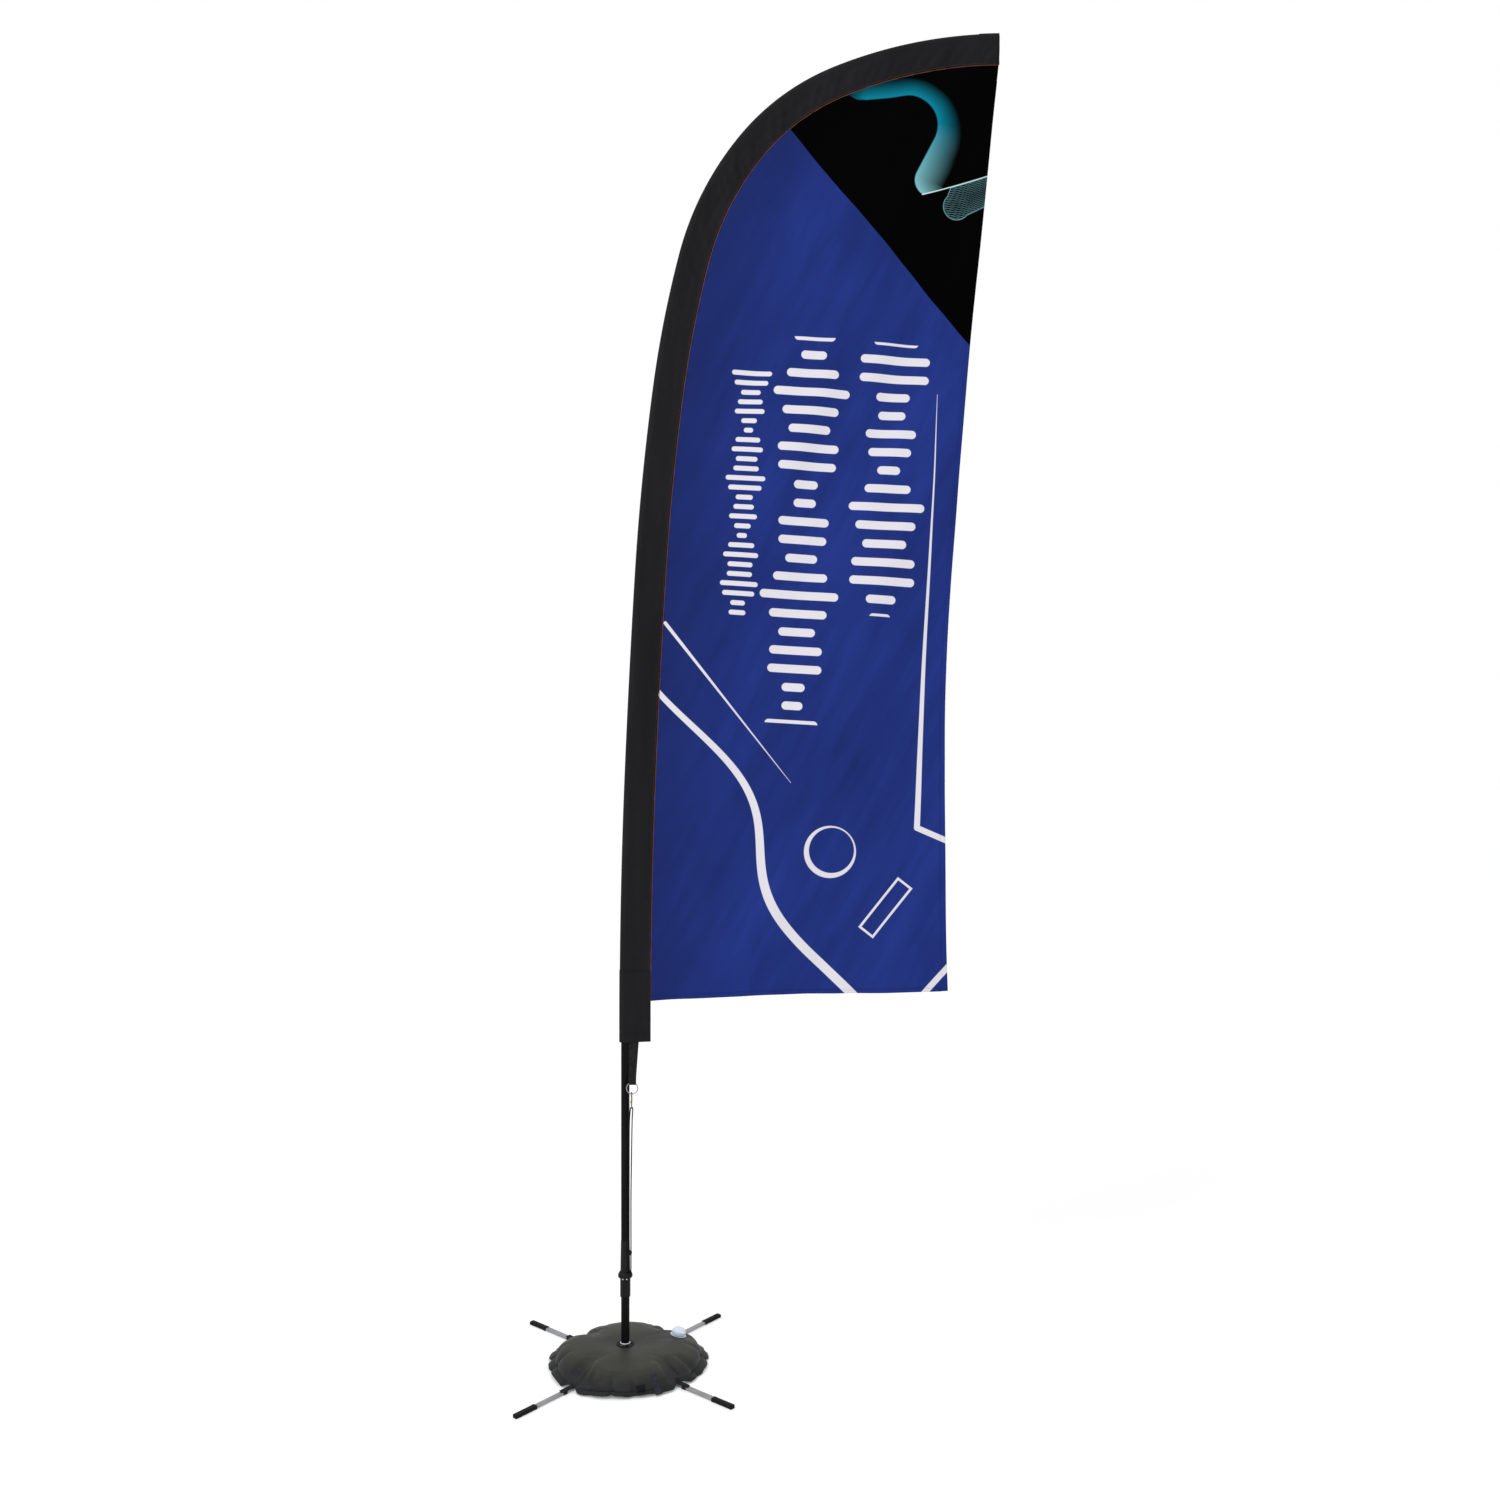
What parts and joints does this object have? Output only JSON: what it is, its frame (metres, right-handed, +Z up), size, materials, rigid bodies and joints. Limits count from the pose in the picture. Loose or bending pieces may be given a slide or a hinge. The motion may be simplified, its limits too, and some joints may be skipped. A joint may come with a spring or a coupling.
{
  "type": "feather flag",
  "caption": "Tall feather flag: bow-shaped pole sleeve and printed cloth sail on a bent pole, tension cord, free-turning spindle, folding cross base and water weight bag.",
  "frame": {"origin": "on the floor, on the spindle's axis, at the centre of the crossing legs' rubber pad", "axes": "+Z up along the spindle, +X the way the sail flies from the pole, +Y square to the sail"},
  "size_m": [1.2605, 0.5766, 3.4581],
  "materials": {
    "steel_bar": "satin",
    "rubber": "matte",
    "webbing": "woven",
    "zinc_steel": "bright",
    "bearing_steel": "ground",
    "cage_brass": "satin",
    "nylon": "satin",
    "housing_metal": "satin",
    "bag_cloth": "rubberised cloth, satin",
    "cap_plastic": "gloss",
    "black_plastic": "satin",
    "pole": "satin, glass fibre",
    "ferrule": "satin",
    "sleeve_cloth": "woven, matte",
    "sail_cloth": "knitted polyester, printed",
    "hook_metal": "satin",
    "cord": "braided"
  },
  "bodies": {
    "root": {"lower_leg_bar": "steel_bar", "lower_leg_sleeves": "rubber", "lower_leg_bands": "webbing", "centre_pad": "rubber", "pivot_bolt": "zinc_steel", "pivot_washer": "nylon", "bearing_housing": "housing_metal", "bearing_outer_races": "bearing_steel", "bearing_spacer": "bearing_steel", "bearing_circlip": "zinc_steel", "weight_bag": "bag_cloth", "bag_welt": "bag_cloth", "bag_tabs": "webbing", "bag_grommet": "rubber", "filler_neck": "cap_plastic", "carry_patch": "webbing", "carry_buckle": "black_plastic"},
    "upper_leg": {"upper_leg_bar": "steel_bar", "upper_leg_sleeves": "rubber", "upper_leg_bands": "webbing"},
    "cap_gasket": {"cap_gasket": "rubber"},
    "filler_cap": {"filler_cap": "cap_plastic"},
    "rotor": {"spindle": "bearing_steel", "spindle_ring": "zinc_steel", "bearing_inner_races": "bearing_steel", "bearing_balls": "bearing_steel", "bearing_cages": "cage_brass", "spindle_screw": "zinc_steel"},
    "mast": {"pole_section_1": "pole", "pole_section_2": "pole", "pole_section_3": "pole", "pole_section_4": "pole", "ferrule_1": "ferrule", "ferrule_2": "ferrule", "ferrule_3": "ferrule", "pole_tip_cap": "rubber", "pole_grip": "black_plastic", "collar": "black_plastic", "cord_flange": "black_plastic", "flange_screws": "zinc_steel", "sleeve": "sleeve_cloth", "sleeve_cuff": "sleeve_cloth", "tip_pocket": "sleeve_cloth", "sail_panel": "sail_cloth", "side_hem": "sail_cloth", "bottom_hem": "sail_cloth", "tension_strap": "webbing", "split_ring": "zinc_steel", "snap_hook": "hook_metal", "tension_cord": "cord"},
    "hook_gate": {"hook_gate": "hook_metal"},
    "cord_lock": {"lock_barrel": "black_plastic"},
    "lock_button": {"lock_button": "black_plastic"}
  },
  "joints": [
    {"name": "leg_fold", "type": "hinge", "parent": "root", "child": "upper_leg", "pos_m": [0, 0, 0.0118], "axis": [0, 0, 1], "range_deg": [0, 65]},
    {"name": "flag_spin", "type": "hinge", "parent": "root", "child": "rotor", "pos_m": [0, 0, 0.038], "axis": [0, 0, 1], "continuous": true},
    {"name": "mast_lift", "type": "slide", "parent": "rotor", "child": "mast", "axis": [0, 0, 1], "range_m": [0, 0.118]},
    {"name": "cap_lift", "type": "slide", "parent": "root", "child": "cap_gasket", "axis": [0.2022, 0.0986, 0.9744], "range_m": [0, 0.0061]},
    {"name": "cap_turn", "type": "hinge", "parent": "cap_gasket", "child": "filler_cap", "pos_m": [0.13482, 0.06576, 0.048], "axis": [0.2022, 0.0986, 0.9744], "range_deg": [0, 540]},
    {"name": "gate_open", "type": "hinge", "parent": "mast", "child": "hook_gate", "pos_m": [0.0175, -0.019, 0.686], "axis": [-1, 0, 0], "range_deg": [0, 30], "stiffness_Nm_per_rad": 0.02, "springref_deg": -11.46},
    {"name": "lock_slide", "type": "slide", "parent": "mast", "child": "cord_lock", "axis": [0, 0, 1], "range_m": [-0.028, 0.12]},
    {"name": "button_press", "type": "slide", "parent": "cord_lock", "child": "lock_button", "axis": [0, 1, 0], "range_m": [0, 0.0024], "stiffness_N_per_m": 150, "springref_m": -0.002}
  ],
  "couplings": [
    {"joint": "cap_lift", "follows": "cap_turn", "m_per_rad": 0.00063662}
  ]
}
